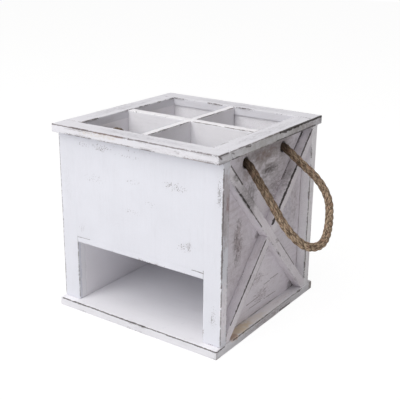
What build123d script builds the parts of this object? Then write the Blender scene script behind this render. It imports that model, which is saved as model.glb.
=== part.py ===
from build123d import *
import math
import os

# A tabletop wooden box for cutlery and napkins. Four open compartments stand
# over a napkin bay that opens at the front. Each side has an X of square strips
# in a recess and a rope handle tied through two holes.
#
# Frame: +Z is up, +X is right as seen from the front, the front faces -Y.
# The origin is the middle of the base's underside. Lengths are in millimetres.

# Boards: the inside, the walls and the boards above and below them
inner_width = 158.0
inner_depth = 159.6
wall_height = 182.5
front_thickness = 10.4
back_thickness = 10.4
side_thickness = 10.0
side_recess = 10.5
base_thickness = 9.1
base_overhang_side = 1.0
base_overhang_front = 7.8
rim_thickness = 8.6
rim_overhang_side = 0.5
rim_overhang_front = 8.8
rim_lip = 1.8
edge_round = 1.2
corner_round = 0.8

# Napkin bay, its ceiling and the dividers that stand on it
bay_height = 66.4
floor_thickness = 6.0
long_divider_thickness = 7.5
cross_divider_thickness = 10.0
divider_drop = 0.6
lap_clearance = 0.1
lap_share = 0.5

# Braces: square strips laid as an X in each side recess
brace_width = 10.0
brace_inset = 0.3
brace_top_drop = 9.6
brace_foot_rise = 1.4
brace_edge = 0.7

# Rope handles, the holes they pass and the knots that hold them inside
rope_diameter = 8.4
hole_diameter = 11.0
hole_spacing = 72.0
hole_drop = 13.8
hole_edge = 0.8
running_gap = 0.3
right_rest_angle = 48.0
left_touch_reach = 27.0
knot_diameter = 21.0
knot_length = 15.0
knot_round = 6.0
tail_length = 15.0

# The rope loop's route in its own plane: distance out from the hinge line, and
# place along it. The first and last points are on the hinge line, at the holes.
loop_route = [
    (20.0, -40.8),
    (45.0, -43.4),
    (70.0, -46.8),
    (92.5, -38.6),
    (100.4, -16.1),
    (96.2, 4.0),
    (82.0, 28.7),
    (65.0, 48.8),
    (42.0, 51.8),
    (20.5, 41.0),
]
arc_share = 0.45

# Brads: rectangular wire nails with a wide head, sunk under the paint
brad_width = 1.2
brad_depth = 1.0
brad_head_width = 2.0
brad_head_height = 0.9
brad_sink = 0.6
brad_length = 25.0
brace_brad_length = 17.0
cut_overrun = 1.0

# Places that follow from the sizes above
base_top = base_thickness
wall_top = base_top + wall_height
rim_top = wall_top + rim_thickness
inner_x = inner_width / 2
inner_front = -inner_depth / 2
inner_back = inner_depth / 2
front_face = inner_front - front_thickness
back_face = inner_back + back_thickness
side_face = inner_x + side_thickness
body_x = side_face + side_recess
stile_width = body_x - inner_x
front_mid = (front_face + inner_front) / 2
back_mid = (inner_back + back_face) / 2
side_mid = (inner_x + side_face) / 2
base_x = body_x + base_overhang_side
rim_x = body_x + rim_overhang_side
base_front = front_face - base_overhang_front
base_back = back_face + base_overhang_front
rim_front = front_face - rim_overhang_front
rim_back = back_face + rim_overhang_front
rim_inner_front = inner_front + rim_lip
rim_inner_back = inner_back - rim_lip
floor_under = base_top + bay_height
floor_top = floor_under + floor_thickness
divider_top = rim_top - divider_drop
brace_face = body_x - brace_inset
rope_radius = rope_diameter / 2
hole_z = wall_top - hole_drop
hole_y = hole_spacing / 2
hinge_x = side_face + rope_radius + running_gap

# The left handle hangs until its rope meets the upper brace, this far out along it
left_clear = brace_face + rope_radius + running_gap - hinge_x
left_rest_angle = math.degrees(math.acos(left_clear / left_touch_reach))


def span(low, high):
    """A plain block between two opposite corners."""
    size = [b - a for a, b in zip(low, high)]
    middle = [(a + b) / 2 for a, b in zip(low, high)]
    return Pos(*middle) * Box(*size)


def mirrored(shape):
    """The same piece on the other side of the box."""
    return mirror(shape, about=Plane.YZ)


def brad_at(point, outward, length):
    """One brad, with its head under the surface that outward points away from."""
    level = Pos(0, 0, -brad_sink)
    top = (Align.CENTER, Align.CENTER, Align.MAX)
    shank = level * Box(brad_width, brad_depth, length, align=top)
    head = level * Box(brad_head_width, brad_depth, brad_head_height, align=top)
    return Plane(origin=point, z_dir=outward) * (shank + head)


def pocket_at(point, outward):
    """The little well over a brad's head."""
    foot = (Align.CENTER, Align.CENTER, Align.MIN)
    well = Pos(0, 0, -brad_sink) * Box(brad_head_width, brad_depth, brad_sink + cut_overrun, align=foot)
    return Plane(origin=point, z_dir=outward) * well


def nailed(board, brads, pockets=()):
    """A board with the holes that its brads fill."""
    for cutter in [*brads, *pockets]:
        board = board - cutter
    return board


# Where the brads go: each joint is nailed through the outer board
up = (0, 0, 1)
down = (0, 0, -1)
forward = (0, -1, 0)
backward = (0, 1, 0)
rightward = (1, 0, 0)
leftward = (-1, 0, 0)
thirds_shares = (-1 / 3, 1 / 3)
height_shares = (0.12, 0.5, 0.86)
side_nail_shares = (-0.38, 0.38)
brace_nail_shares = (-0.3, -0.12, 0.12, 0.3)
stile_mid = (inner_x + body_x) / 2
rim_places = []
for nail_y in (front_mid, back_mid):
    rim_places += [(side * stile_mid, nail_y, rim_top) for side in (-1, 1)]
    rim_places += [(share * inner_width, nail_y, rim_top) for share in thirds_shares]
for side in (-1, 1):
    rim_places += [(side * side_mid, share * inner_depth, rim_top) for share in side_nail_shares]
base_places = []
for nail_y in (front_mid, back_mid):
    base_places += [(side * stile_mid, nail_y, 0) for side in (-1, 1)]
for side in (-1, 1):
    base_places += [(side * side_mid, share * inner_depth, 0) for share in side_nail_shares]
wall_heights = [base_top + share * wall_height for share in height_shares]
stile_places = [(side * side_mid, front_face, z) for side in (-1, 1) for z in wall_heights]
back_places = [(side * side_mid, back_face, z) for side in (-1, 1) for z in wall_heights]
floor_mid = (floor_under + floor_top) / 2
front_panel_places = [(share * inner_width, front_mid, floor_under) for share in thirds_shares]

rim_brads = [brad_at(p, up, brad_length) for p in rim_places]
base_brads = [brad_at(p, down, brad_length) for p in base_places]
stile_brads = [brad_at(p, forward, brad_length) for p in stile_places]
back_brads = [brad_at(p, backward, brad_length) for p in back_places]
front_panel_brads = [brad_at(p, down, brad_length) for p in front_panel_places]
floor_brads = []
floor_pockets = []
for side, outward in ((-1, leftward), (1, rightward)):
    for share in side_nail_shares:
        spot = (side * side_face, share * inner_depth, floor_mid)
        floor_brads.append(brad_at(spot, outward, brad_length))
        floor_pockets.append(pocket_at(spot, outward))
rim_pockets = [pocket_at(p, up) for p in rim_places]
base_pockets = [pocket_at(p, down) for p in base_places]
stile_pockets = [pocket_at(p, forward) for p in stile_places]
back_pockets = [pocket_at(p, backward) for p in back_places]
front_panel_pockets = [pocket_at(p, down) for p in front_panel_places]

nodes = {}

# Base board: overhangs the front and back, almost flush at the sides
base = span((-base_x, base_front, 0), (base_x, base_back, base_thickness))
base = fillet(base.edges().filter_by(Axis.Z), edge_round)
base = fillet(base.faces().sort_by(Axis.Z)[-1].edges(), edge_round)
nodes["base_board"] = nailed(base, base_brads, base_pockets)

# Front: two stiles either side of an upper panel, which stands on the floor's edge
stile = span((inner_x, front_face, base_top), (body_x, inner_front, wall_top))
stile = fillet(stile.edges().filter_by(Axis.Z).group_by(Axis.X)[-1].group_by(Axis.Y)[0], corner_round)
nodes["front_stile_right"] = nailed(stile, rim_brads + base_brads + stile_brads, stile_pockets)
nodes["front_stile_left"] = nailed(mirrored(stile), rim_brads + base_brads + stile_brads, stile_pockets)
front_panel = span((-inner_x, front_face, floor_top), (inner_x, inner_front, wall_top))
nodes["front_panel"] = nailed(front_panel, rim_brads + front_panel_brads)

# Back: one board across the whole width
back = span((-body_x, inner_back, base_top), (body_x, back_face, wall_top))
back = fillet(back.edges().filter_by(Axis.Z).group_by(Axis.Y)[-1], corner_round)
nodes["back_panel"] = nailed(back, rim_brads + base_brads + back_brads, back_pockets)

# Sides: boards set back between the stiles and the back, each with two rope holes
side_board = span((inner_x, inner_front, base_top), (side_face, inner_back, wall_top))
bore = Rot(0, 90, 0) * Cylinder(hole_diameter / 2, side_thickness + 2 * cut_overrun)
for y in (-hole_y, hole_y):
    side_board = side_board - Pos(side_mid, y, hole_z) * bore
mouths = side_board.edges().filter_by(GeomType.CIRCLE)
side_board = chamfer(mouths, hole_edge)
side_nails = rim_brads + base_brads + stile_brads + back_brads + floor_brads

# Braces: one long strip from the top front corner to the bottom back corner,
# and two short strips that butt against it
brace_thickness = brace_face - side_face
brace_rise = (wall_top - brace_top_drop) - (base_top + brace_foot_rise)
brace_middle_z = (wall_top - brace_top_drop + base_top + brace_foot_rise) / 2
brace_length = math.hypot(inner_depth, brace_rise)
brace_slope = math.degrees(math.atan2(brace_rise, inner_depth))
brace_mid_x = (side_face + brace_face) / 2
bar = Box(brace_thickness, 2 * brace_length, brace_width)
bar = chamfer(bar.edges().filter_by(Axis.Y).group_by(Axis.X)[-1], brace_edge)
bar_gap = Box(brace_thickness, 2 * brace_length, brace_width)
recess = span((side_face, inner_front, base_top), (brace_face, inner_back, wall_top))
laid = Pos(brace_mid_x, 0, brace_middle_z) * Rot(-brace_slope, 0, 0)
long_brace = (laid * bar) & recess
crossing = (Pos(brace_mid_x, 0, brace_middle_z) * Rot(brace_slope, 0, 0) * bar) & recess
halves = (crossing - laid * bar_gap).solids().sort_by(Axis.Z)
braces = {"brace_lower": halves[0], "brace_long": long_brace, "brace_upper": halves[-1]}

brace_direction = Vector(0, inner_depth, brace_rise).normalized()
brace_spots = []
for fall in (-1, 1):
    for share in brace_nail_shares:
        along = share * brace_length
        spot_y = along * brace_direction.Y
        spot_z = brace_middle_z + fall * along * brace_direction.Z
        brace_spots.append((brace_face, spot_y, spot_z))
brace_brads = [brad_at(p, rightward, brace_brad_length) for p in brace_spots]
brace_pockets = [pocket_at(p, rightward) for p in brace_spots]
right_board = nailed(side_board, side_nails + brace_brads, floor_pockets)
left_board = nailed(mirrored(side_board), side_nails + [mirrored(b) for b in brace_brads], floor_pockets)
nodes["right_panel"] = right_board
nodes["left_panel"] = left_board
for name, strip in braces.items():
    strip = nailed(strip, brace_brads, brace_pockets)
    nodes["right_" + name] = strip
    nodes["left_" + name] = mirrored(strip)

# Compartment floor: its front edge shows between the stiles, over the bay
floor = span((-inner_x, front_face, floor_under), (inner_x, inner_back, floor_top))
nodes["compartment_floor"] = nailed(floor, floor_brads + front_panel_brads, front_panel_pockets)

# Dividers: two boards halved over each other, dropped in through the rim
lap_z = floor_top + lap_share * (divider_top - floor_top)
half_long = long_divider_thickness / 2
half_cross = cross_divider_thickness / 2
long_slot = span(
    (-half_long - cut_overrun, -half_cross - lap_clearance, lap_z),
    (half_long + cut_overrun, half_cross + lap_clearance, divider_top + cut_overrun),
)
cross_slot = span(
    (-half_long - lap_clearance, -half_cross - cut_overrun, floor_top - cut_overrun),
    (half_long + lap_clearance, half_cross + cut_overrun, lap_z),
)
long_divider = span((-half_long, rim_inner_front, floor_top), (half_long, rim_inner_back, divider_top))
cross_divider = span((-inner_x, -half_cross, floor_top), (inner_x, half_cross, divider_top))
nodes["long_divider"] = long_divider - long_slot
nodes["cross_divider"] = cross_divider - cross_slot

# Rim: a flat frame with eased outer edges, front and back strips full width
ring = span((-rim_x, rim_front, wall_top), (rim_x, rim_back, rim_top))
ring = fillet(ring.edges().filter_by(Axis.Z), edge_round)
ring = fillet(ring.faces().sort_by(Axis.Z)[-1].edges(), edge_round)
ring = ring - span(
    (-inner_x, rim_inner_front, wall_top - cut_overrun), (inner_x, rim_inner_back, rim_top + cut_overrun)
)
front_cut = span((-rim_x, rim_front, wall_top), (rim_x, rim_inner_front, rim_top))
back_cut = span((-rim_x, rim_inner_back, wall_top), (rim_x, rim_back, rim_top))
right_cut = span((inner_x, rim_inner_front, wall_top), (rim_x, rim_inner_back, rim_top))
rim_cuts = {"front": front_cut, "back": back_cut, "right": right_cut, "left": mirrored(right_cut)}
for name, cut in rim_cuts.items():
    nodes["rim_" + name] = nailed(ring & cut, rim_brads, rim_pockets)

# Rope handles: a loop of rope on each side swings about the line of its holes
def loop_points(angle):
    """The route in the frame, with the loop's plane this far under the level."""
    lean = math.radians(angle)
    route = [(0, -hole_y), *loop_route, (0, hole_y)]
    return [Vector(hinge_x + u * math.cos(lean), v, hole_z - u * math.sin(lean)) for u, v in route]


def corner_radii(points):
    """The largest arc that each corner's two runs leave room for."""
    radii = []
    for before, here, after in zip(points, points[1:], points[2:]):
        run_in = here - before
        run_out = after - here
        half_turn = math.radians(run_in.get_angle(run_out)) / 2
        shorter = min(run_in.length, run_out.length)
        radii.append(arc_share * shorter / math.tan(half_turn))
    return radii


def rope_loop(angle):
    """A round tube along the route, with rounded ends on the hinge line."""
    points = loop_points(angle)
    radii = corner_radii(points)
    path = FilletPolyline(*points, radius=radii)
    section = Plane(origin=points[0], z_dir=path % 0) * Circle(rope_radius)
    tube = sweep(section, path=path)
    section_area = math.pi * rope_radius**2
    print("loop radii", [round(r, 1) for r in radii], "length", round(path.length, 1))
    print("loop volume over section times length", round(tube.volume / (section_area * path.length), 4))
    for end in (points[0], points[-1]):
        tube = tube + Pos(*end) * Sphere(rope_radius)
    return tube


nodes["right_rope_loop"] = rope_loop(right_rest_angle)
nodes["left_rope_loop"] = mirrored(rope_loop(left_rest_angle))


# Knots: the rope's end passes its hole and is tied off against the inner face
def knot(y):
    """The rope in the hole, the knot behind it and the tail under the knot."""
    inward = Pos(inner_x, y, hole_z) * Rot(0, -90, 0)
    foot = (Align.CENTER, Align.CENTER, Align.MIN)
    lump = Cylinder(knot_diameter / 2, knot_length, align=foot)
    lump = fillet(lump.edges().filter_by(GeomType.CIRCLE), knot_round)
    neck = Cylinder(rope_radius, side_thickness + knot_round, align=foot)
    neck = Pos(side_face, y, hole_z) * Rot(0, -90, 0) * neck
    tail_x = inner_x - knot_length / 2
    tail_drop = knot_diameter / 2 + tail_length
    hang = (Align.CENTER, Align.CENTER, Align.MAX)
    tail = Pos(tail_x, y, hole_z) * Cylinder(rope_radius, tail_drop, align=hang)
    return inward * lump + neck + tail


for name, y in (("front", -hole_y), ("back", hole_y)):
    nodes["right_" + name + "_knot"] = knot(y)
    nodes["left_" + name + "_knot"] = mirrored(knot(y))

# Brads, each kind in one group
nodes["rim_brads"] = Compound(children=rim_brads)
nodes["base_brads"] = Compound(children=base_brads)
nodes["stile_brads"] = Compound(children=stile_brads)
nodes["back_brads"] = Compound(children=back_brads)
nodes["floor_brads"] = Compound(children=floor_brads)
nodes["front_panel_brads"] = Compound(children=front_panel_brads)
nodes["right_brace_brads"] = Compound(children=brace_brads)
nodes["left_brace_brads"] = Compound(children=[mirrored(b) for b in brace_brads])

os.makedirs("parts", exist_ok=True)
for name, shape in nodes.items():
    export_step(shape, os.path.join("parts", name + ".step"))
print(len(nodes), "nodes written")
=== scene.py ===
import bmesh
import bpy
import math
import random
from mathutils import Matrix, Vector, noise


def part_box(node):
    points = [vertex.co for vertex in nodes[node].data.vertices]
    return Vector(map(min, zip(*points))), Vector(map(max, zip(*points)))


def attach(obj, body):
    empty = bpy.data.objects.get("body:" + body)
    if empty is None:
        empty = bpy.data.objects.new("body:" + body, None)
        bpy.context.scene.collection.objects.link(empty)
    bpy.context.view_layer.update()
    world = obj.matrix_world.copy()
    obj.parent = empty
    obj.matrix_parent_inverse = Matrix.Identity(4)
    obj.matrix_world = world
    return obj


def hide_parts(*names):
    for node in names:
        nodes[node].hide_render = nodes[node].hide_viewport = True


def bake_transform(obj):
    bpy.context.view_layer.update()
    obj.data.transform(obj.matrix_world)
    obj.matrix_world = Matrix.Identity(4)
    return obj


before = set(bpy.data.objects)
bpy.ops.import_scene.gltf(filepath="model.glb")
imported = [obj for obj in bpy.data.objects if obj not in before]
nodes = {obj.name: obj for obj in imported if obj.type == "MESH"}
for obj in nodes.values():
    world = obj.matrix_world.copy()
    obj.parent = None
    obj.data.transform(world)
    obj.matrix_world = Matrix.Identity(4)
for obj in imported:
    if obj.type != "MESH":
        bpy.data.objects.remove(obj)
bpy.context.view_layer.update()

# Lengths below are in millimetres unless a name says otherwise. The scene is in metres.
MM = 0.001
axis_number = {"X": 0, "Y": 1, "Z": 2}


def box_mm(node):
    """A node's lowest and highest corners."""
    low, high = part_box(node)
    return low / MM, high / MM


# Camera: the photograph's view of a 400 pixel square frame
camera_place = Vector((446.5, -633.7, 380.6))
camera_yaw = math.radians(34.398)
camera_pitch = math.radians(19.075)
camera_roll = math.radians(0.692)
frame_pixels = 400
focal_pixels = 772.2
sensor_width = 36.0

# Boards: how finely they are drawn, and how the mesh steps in from their edges
grid_step = 2.6
corner_steps = (0.0, 0.5, 1.0, 1.7, 3.0)
cap_inset = 5.0
cap_share = 0.3
cap_middle_share = 0.45
side_step = 1.6
side_share = 0.9
bend_angles = [math.radians(a) for a in (0, 22.5, 45, 67.5, 90)]
least_turn_radians = 0.1
grain_along_x = 0.9
level_slack = 0.01
back_slack = 0.02
hull_slack = 4.0
seed_step = Vector((137.0, 71.0, 29.0))
far = 400.0

# Worn edges: a wave along the edge, chips, and the places where an edge stays sharp
wave_size = 21.0
wave_share = 0.35
chip_size = 7.0
chip_limit = 0.4
chip_share = 1.6
soft_depth_share = 0.8
soft_inset_share = 0.4
tight_soft = 0.1
unworn = 20.0
seam_margin = 1.0
floor_under = 0.3
floor_over = 0.5

# How round each kind of board is: along its edges, and at its corners
board_edges = {
    "base": (1.1, 1.2),
    "upright": (0.7, 0.4),
    "flush": (tight_soft, 0.1),
    "floor": (0.4, 0.1),
    "panel": (0.3, 0.1),
    "brace": (0.6, 0.1),
    "divider": (0.6, 0.2),
    "rim_end": (0.7, 1.0),
    "rim_side": (0.7, 0.2),
}

# Rope holes in the side boards
hole_z = 177.8
hole_y = 36.0
hole_radius = 5.5
hole_ease = 0.8
hole_lip = 0.4
hole_margin = 2.0
hole_sides = 40

# Rope handles: the route that both loops follow, out from the hinge line and along it
rope_diameter = 8.4
inner_x = 79.0
hinge_x = 93.5
right_angle = 48.0
left_angle = 67.8
loop_route = [
    (20.0, -40.8),
    (45.0, -43.4),
    (70.0, -46.8),
    (92.5, -38.6),
    (100.4, -16.1),
    (96.2, 4.0),
    (82.0, 28.7),
    (65.0, 48.8),
    (42.0, 51.8),
    (20.5, 41.0),
]
rope_inside_x = 77.0
rope_hole_x = 85.0
rope_mouth_x = 91.0
spline_order = 3
upright_run = 0.8
handle_resolution = 24
handle_step = 0.8

# Rope surface: three strands, ridges and lumps in them, and loose hairs
strand_count = 3
half_strand = math.pi / strand_count
strand_radius = 3.2
strand_offset = 1.0
lay_length = 26.0
rope_sides = 42
fibre_ridge = 0.10
ridge_length = 9.0
ridges_across = 0.9
strand_lump = 0.12
lump_length = 7.0
strand_shift = 9.0
rope_shift = 90.0
hair_radius = 0.06
hair_lengths = (1.0, 2.6)
hair_sides = 3
hair_ends = 4
hair_root_share = 0.8
hair_taper_share = 0.7
hair_lean = (0.6, 1.0)
hair_swing = (-0.5, 0.5)
hair_rise = (0.3, 0.5)
handle_hairs = 320
knot_hairs = 80

# Knots: places inward from the inner face, and along and up from the hole
knot_scale = 0.86
knot_lead = [(3.0, 0.0, 0.0), (-6.0, 0.0, 0.0), (-14.0, 1.0, 0.0)]
knot_tail = [(-6.0, 5.5, -9.0), (-7.0, 4.0, -17.0), (-7.5, 3.0, -24.0)]
knot_wrap = 7.0
knot_far = -13.5
knot_length = 9.0
knot_points = 15
knot_first_degrees = 60
knot_step_degrees = 45
knot_resolution = 16
knot_step = 0.9

# Stage and light, in metres and watts
floor_size = 4.0
floor_drop = 0.1 * MM
floor_grey = (0.9, 0.9, 0.9, 1.0)
floor_glow = 1.08
floor_glow_share = 0.86
world_light = 0.32
world_tint = (1.0, 0.965, 0.95)
pure_white = (1.0, 1.0, 1.0)
lamps = {
    "front_light": ((-0.45, -1.75, 1.35), 20.4),
    "top_light": ((-0.1, -0.75, 2.1), 18.6),
}
lamp_size = 1.6
lamp_aim = Vector((0, 0, 0.1))


def new_object(name, data):
    """An object in the scene."""
    made = bpy.data.objects.new(name, data)
    bpy.context.scene.collection.objects.link(made)
    return made


def place_camera():
    """A camera at the photograph's viewing angle."""
    data = bpy.data.cameras.new("camera")
    data.sensor_width = sensor_width
    data.lens = focal_pixels / frame_pixels * sensor_width
    camera = new_object("camera", data)
    camera.matrix_world = Matrix.Translation(camera_place * MM)
    for angle, axis in ((camera_yaw, "Z"), (math.pi / 2 - camera_pitch, "X"), (camera_roll, "Z")):
        camera.matrix_world @= Matrix.Rotation(angle, 4, axis)
    bpy.context.scene.camera = camera


place_camera()


# Node tools. The Mix node's sockets for colours go by number, because other sockets have the same names.
mix_factor = 0
mix_first = 6
mix_second = 7
mix_result = 2


def fill(tree, node, inputs):
    """A node's inputs, each linked or set."""
    for key, value in inputs.items():
        if isinstance(value, bpy.types.NodeSocket):
            tree.links.new(value, node.inputs[key])
        else:
            node.inputs[key].default_value = value


def add(tree, kind, inputs=None, **settings):
    """A node with its settings and inputs."""
    node = tree.nodes.new(kind)
    for key, value in settings.items():
        setattr(node, key, value)
    fill(tree, node, inputs or {})
    return node


def calc(tree, operation, a, b=0.0, c=0.0):
    """One step of arithmetic on numbers."""
    return add(tree, "ShaderNodeMath", {0: a, 1: b, 2: c}, operation=operation).outputs[0]


def times(tree, product, *factors):
    """Numbers multiplied together."""
    for factor in factors:
        product = calc(tree, "MULTIPLY", product, factor)
    return product


def plus(tree, base, value, amount=1.0):
    """A base with an amount of a value added."""
    return calc(tree, "MULTIPLY_ADD", value, amount, base)


def minus(tree, a, b):
    """One number less another."""
    return calc(tree, "SUBTRACT", a, b)


def clamped(tree, value):
    """A number kept between 0 and 1."""
    return add(tree, "ShaderNodeClamp", {"Value": value}).outputs[0]


def vcalc(tree, operation, a, b=(0, 0, 0)):
    """One step of arithmetic on vectors."""
    node = add(tree, "ShaderNodeVectorMath", {0: a, 1: b}, operation=operation)
    scalar = operation in ("DOT_PRODUCT", "DISTANCE", "LENGTH")
    return node.outputs["Value" if scalar else "Vector"]


def scaled(tree, vector, amount):
    """A vector times a number."""
    return add(tree, "ShaderNodeVectorMath", {0: vector, "Scale": amount}, operation="SCALE").outputs[0]


def ramp(tree, value, low, high):
    """0 below low, 1 above high, smooth between."""
    inputs = {"Value": value, "From Min": low, "From Max": high}
    return add(tree, "ShaderNodeMapRange", inputs, interpolation_type="SMOOTHSTEP").outputs["Result"]


def grains(tree, vector, size, detail=3.0, roughness=0.55):
    """Noise whose features are about this long along each axis."""
    if not hasattr(size, "__len__"):
        size = (size, size, size)
    spaced = vcalc(tree, "MULTIPLY", vector, [1 / s for s in size])
    inputs = {"Vector": spaced, "Scale": 1.0, "Detail": detail, "Roughness": roughness}
    return add(tree, "ShaderNodeTexNoise", inputs).outputs["Fac"]


def centred(tree, value):
    """Noise about zero instead of about a half."""
    return minus(tree, value, 0.5)


def blend_colour(tree, factor, first, second):
    """The second colour over the first."""
    colours = [c if isinstance(c, bpy.types.NodeSocket) else (*c, 1.0) for c in (first, second)]
    inputs = {mix_factor: factor, mix_first: colours[0], mix_second: colours[1]}
    return add(tree, "ShaderNodeMix", inputs, data_type="RGBA").outputs[mix_result]


def attribute(tree, name, output):
    """A value that the mesh carries."""
    return add(tree, "ShaderNodeAttribute", attribute_name=name).outputs[output]


def object_mm(tree):
    """The place on the object."""
    return vcalc(tree, "MULTIPLY", add(tree, "ShaderNodeTexCoord").outputs["Object"], [1 / MM] * 3)


def mirrored(tree, place):
    """The same place on the object's right half."""
    apart = add(tree, "ShaderNodeSeparateXYZ", {0: place}).outputs
    side = calc(tree, "ABSOLUTE", apart[0])
    return add(tree, "ShaderNodeCombineXYZ", {0: side, 1: apart[1], 2: apart[2]}).outputs[0]


def wavering(tree, vector, size, amount):
    """The vector pushed about by soft noise, so that brush strokes aren't straight."""
    spaced = vcalc(tree, "MULTIPLY", vector, [1 / size] * 3)
    push = add(tree, "ShaderNodeTexNoise", {"Vector": spaced, "Scale": 1.0, "Detail": 2.0}).outputs["Color"]
    push = vcalc(tree, "MULTIPLY", vcalc(tree, "SUBTRACT", push, [0.5] * 3), [amount] * 3)
    return vcalc(tree, "ADD", vector, push)


def empty_tree(owner):
    """The node tree of a material or a world, with nothing in it."""
    owner.use_nodes = True
    owner.node_tree.nodes.clear()
    return owner.node_tree


def new_material(name):
    """A material with only an output and a Principled shader."""
    material = bpy.data.materials.new(name)
    tree = empty_tree(material)
    shader = add(tree, "ShaderNodeBsdfPrincipled")
    add(tree, "ShaderNodeOutputMaterial", {"Surface": shader.outputs[0]})
    return material, tree, shader


def new_group(name, vectors, numbers):
    """A node group that gives a mask, and the sockets that it is given."""
    tree = bpy.data.node_groups.new(name, "ShaderNodeTree")
    for kind, names in (("NodeSocketVector", vectors), ("NodeSocketFloat", numbers)):
        for socket in names:
            tree.interface.new_socket(socket, in_out="INPUT", socket_type=kind)
    tree.interface.new_socket("Mask", in_out="OUTPUT", socket_type="NodeSocketFloat")
    return tree, add(tree, "NodeGroupInput").outputs


# Paint: the sizes of its marks, along the grain and across it where there are three
broad_size = 38.0
brush_size = (40.0, 3.0, 3.0)
fibre_size = (22.0, 0.55, 0.55)
fine_size = 1.0
blotch_size = 7.0
thin_size = 24.0
wipe_size = (13.0, 3.4, 3.4)
wipe_patch_size = 26.0
grit_size = 1.8
cluster_size = 30.0
line_gap_size = 9.0
line_swell_size = 3.5
line_rough_size = 1.1
line_fade = (-0.05, 0.3)
paint_depth = 0.3

# Paint: the size and amount of the waver in strokes, patches and lines
stroke_waver = (16.0, 6.0)
patch_waver = (6.0, 4.0)
line_waver = (9.0, 1.0)

# Paint along the edges: the grey rub, and the line where the paint is gone
rub_size = 28.0
rub_width = 2.4
rub_rough = 3.0
rub_fade = (-0.2, 1.6)
gone_size = 6.0
gone_least = -0.5
gone_swell = 1.8
gone_fade = (0.0, 0.4)

# Paint colours, as linear light
white_paint = (0.78, 0.79, 0.85)
rim_white = (0.79, 0.785, 0.83)
base_white = (0.785, 0.78, 0.815)
side_paint = (0.81, 0.775, 0.83)
brace_paint = (0.835, 0.80, 0.845)
# The inner paint is whiter than the outer paints: partly its whitewash, partly painted light for the inside
# of the box
inner_paint = (0.925, 0.915, 0.945)
dark = (0.045, 0.038, 0.036)
bare_brown = (0.19, 0.115, 0.085)
bare_beige = (0.62, 0.55, 0.46)
grey = (0.27, 0.25, 0.26)
pink = (0.42, 0.345, 0.355)
mauve = (0.24, 0.185, 0.20)
# Dark grey for worn lines, and for painted shade under the rim and where the braces meet
wear_and_shade = (0.16, 0.14, 0.14)
red_brown = (0.29, 0.16, 0.16)
rim_grey = (0.43, 0.42, 0.40)
stile_grey = (0.47, 0.42, 0.44)
warm_brown = (0.26, 0.19, 0.17)
warm_grey = (0.30, 0.26, 0.25)
blue_grey = (0.36, 0.35, 0.43)
thin_grey = (0.58, 0.58, 0.62)
brush_grey = (0.66, 0.66, 0.70)
top_grey = (0.42, 0.41, 0.44)
# Thick white paint, and painted light where it whitens a shaded place
thick_white_and_light = (0.95, 0.91, 0.96)
corner_shade = (0.07, 0.06, 0.05)
seam_brown = (0.22, 0.19, 0.16)
ledge_painted_light = (0.92, 0.89, 0.89)
ledge_beige = (0.86, 0.80, 0.73)
ledge_tan = (0.78, 0.65, 0.47)
ledge_brown = (0.58, 0.42, 0.32)
corner_brown = (0.30, 0.26, 0.22)


def line_group():
    """Node group: a broken worn line from one point to another."""
    tree, given = new_group("worn_line", ("Place", "From", "To"), ("Width", "Cover"))
    place = given["Place"]
    run = vcalc(tree, "SUBTRACT", given["To"], given["From"])
    offset = vcalc(tree, "SUBTRACT", place, given["From"])
    along = vcalc(tree, "DOT_PRODUCT", offset, run)
    share = clamped(tree, calc(tree, "DIVIDE", along, vcalc(tree, "DOT_PRODUCT", run, run)))
    away = vcalc(tree, "DISTANCE", offset, scaled(tree, run, share))
    limit = plus(tree, 0.71, given["Cover"], -0.42)
    shown = ramp(tree, minus(tree, grains(tree, place, line_gap_size, 2.0), limit), -0.05, 0.06)
    swell = plus(tree, 0.2, grains(tree, place, line_swell_size, 2.0), 1.6)
    width = times(tree, given["Width"], swell, shown)
    rough = times(tree, centred(tree, grains(tree, place, line_rough_size, 2.0)), given["Width"])
    mask = ramp(tree, plus(tree, minus(tree, width, away), rough), *line_fade)
    add(tree, "NodeGroupOutput", {"Mask": times(tree, mask, shown)})
    return tree


def patch_group():
    """Node group: a patch that breaks up into marks of one size towards its edge."""
    tree, given = new_group("rubbed_patch", ("Place", "Pattern", "Centre", "Reach"), ("Cover", "Edge"))
    offset = vcalc(tree, "SUBTRACT", given["Place"], given["Centre"])
    away = vcalc(tree, "LENGTH", vcalc(tree, "DIVIDE", offset, given["Reach"]))
    near = ramp(tree, minus(tree, 1.0, away), 0.0, 0.8)
    inputs = {"Vector": given["Pattern"], "Scale": 1.0, "Detail": 3.0, "Roughness": 0.6}
    marks = add(tree, "ShaderNodeTexNoise", inputs).outputs["Fac"]
    limit = plus(tree, 0.78, times(tree, near, given["Cover"]), -0.55)
    mask = ramp(tree, minus(tree, marks, limit), 0.0, given["Edge"])
    add(tree, "NodeGroupOutput", {"Mask": times(tree, mask, ramp(tree, near, 0.0, 0.15))})
    return tree


worn_line = line_group()
rubbed_patch = patch_group()


def worn_edges(tree, colour, place, edge, fine, broad, wear):
    """A grey rub along the edges, and a dark line where the paint is gone."""
    even = centred(tree, fine)
    reach = plus(tree, grains(tree, place, rub_size), even, 0.5)
    rubbed = ramp(tree, reach, 0.62 - 0.3 * wear, 0.80 - 0.3 * wear)
    band = plus(tree, times(tree, rubbed, rub_width), even, rub_rough)
    rub = times(tree, ramp(tree, minus(tree, band, edge), *rub_fade), rubbed, 0.45)
    colour = blend_colour(tree, rub, colour, grey)
    width = plus(tree, gone_least, grains(tree, place, gone_size, 2.0), gone_swell)
    gone = ramp(tree, minus(tree, plus(tree, width, even), edge), *gone_fade)
    worn = times(tree, gone, ramp(tree, rubbed, 0.35, 0.9), 0.8)
    bare = blend_colour(tree, ramp(tree, broad, 0.48, 0.66), dark, bare_brown)
    return blend_colour(tree, worn, colour, bare), worn


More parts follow.
